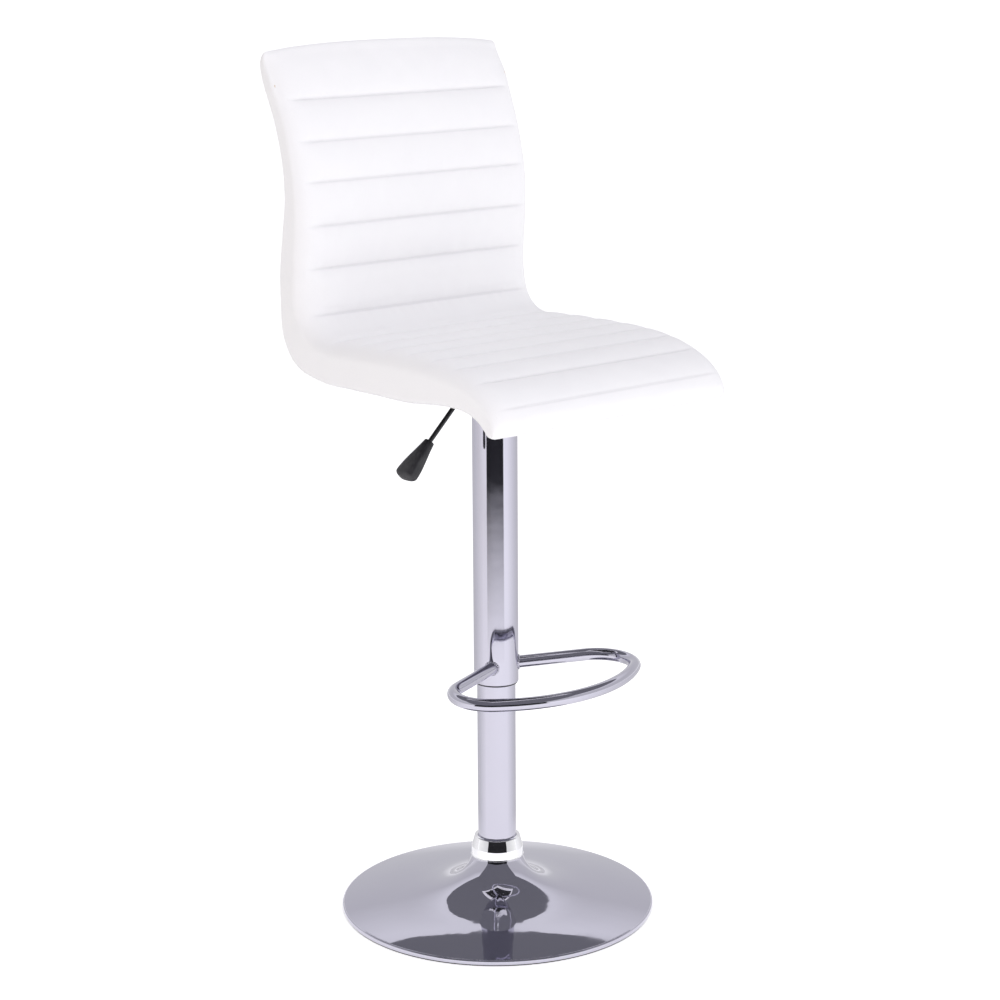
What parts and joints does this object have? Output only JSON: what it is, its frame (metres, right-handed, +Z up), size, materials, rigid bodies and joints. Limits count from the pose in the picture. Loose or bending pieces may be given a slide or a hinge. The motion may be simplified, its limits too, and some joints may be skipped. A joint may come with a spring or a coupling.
{
  "type": "adjustable swivel stool",
  "caption": "Height-adjustable swivel bar stool: one-piece padded seat and back with sewn channels, telescopic column, D-shaped footrest, lift lever and a round trumpet base.",
  "frame": {"origin": "on the column's axis, on the floor under the base", "axes": "+Z up along the column; -Y is the front, the way the sitter faces; the lever is on the sitter's right, -X"},
  "size_m": [0.41, 0.4526, 1.12],
  "materials": {
    "chrome": "polished chrome plate",
    "zinc_steel": "bright zinc-plated or ground steel",
    "cast_iron": "black-coated",
    "brass": "pressed",
    "black_rubber": "matt",
    "natural_nylon": "machined",
    "black_plastic": "fine moulded grain",
    "black_painted_steel": "satin powder coat",
    "plywood": "raw bent plywood",
    "foam": "open-cell polyurethane",
    "white_leather": "smooth coated leather, fine grain, soft sheen"
  },
  "bodies": {
    "base": {"floor_ring": "black_rubber", "base_shell": "chrome", "ballast_disc": "cast_iron", "column_socket": "zinc_steel", "socket_bolts": "zinc_steel", "foot_collar": "chrome", "lower_column": "chrome", "column_end_plate": "zinc_steel", "column_guide_bush": "natural_nylon", "bearing_lower_race": "zinc_steel"},
    "bearing_cage": {"bearing_ball_cage": "brass", "bearing_balls": "zinc_steel"},
    "spindle": {"piston_rod": "zinc_steel", "piston": "zinc_steel", "piston_seal": "black_rubber", "bearing_upper_race": "zinc_steel", "rod_washer": "zinc_steel", "rod_retaining_clip": "zinc_steel", "rubber_buffer": "black_rubber"},
    "seat": {"gas_cylinder": "black_painted_steel", "cylinder_end_guide": "zinc_steel", "cylinder_rod_seal": "black_rubber", "upper_sleeve": "chrome", "sleeve_bush": "black_plastic", "sleeve_cap": "black_plastic", "footrest_ring": "chrome", "taper_socket": "zinc_steel", "lift_bracket": "black_painted_steel", "seat_plate": "black_painted_steel", "lever_pivot_pin": "zinc_steel", "bolt_washers": "zinc_steel", "seat_bolts": "zinc_steel", "tee_nuts": "zinc_steel", "seat_board": "plywood", "seat_foam": "foam", "front_cover": "white_leather", "rear_cover": "white_leather", "side_panels": "white_leather"},
    "lever": {"lever_rod": "black_painted_steel", "lever_grip": "black_plastic"},
    "valve": {"valve_pin": "zinc_steel"}
  },
  "joints": [
    {"name": "swivel", "type": "hinge", "parent": "base", "child": "spindle", "pos_m": [0, 0, 0.05], "axis": [0, 0, 1], "continuous": true},
    {"name": "bearing_roll", "type": "hinge", "parent": "base", "child": "bearing_cage", "pos_m": [0, 0, 0.05], "axis": [0, 0, 1], "continuous": true},
    {"name": "height", "type": "slide", "parent": "spindle", "child": "seat", "axis": [0, 0, 1], "range_m": [-0.2, 0]},
    {"name": "lever_pivot", "type": "hinge", "parent": "seat", "child": "lever", "pos_m": [-0.028, 0, 0.695], "axis": [0, 1, 0], "range_deg": [0, 8], "stiffness_Nm_per_rad": 2},
    {"name": "valve_travel", "type": "slide", "parent": "seat", "child": "valve", "axis": [0, 0, 1], "range_m": [-0.0045, 0]}
  ],
  "couplings": [
    {"joint": "bearing_roll", "follows": "swivel", "ratio": 0.5},
    {"joint": "valve_travel", "follows": "lever_pivot", "m_per_rad": -0.028}
  ]
}
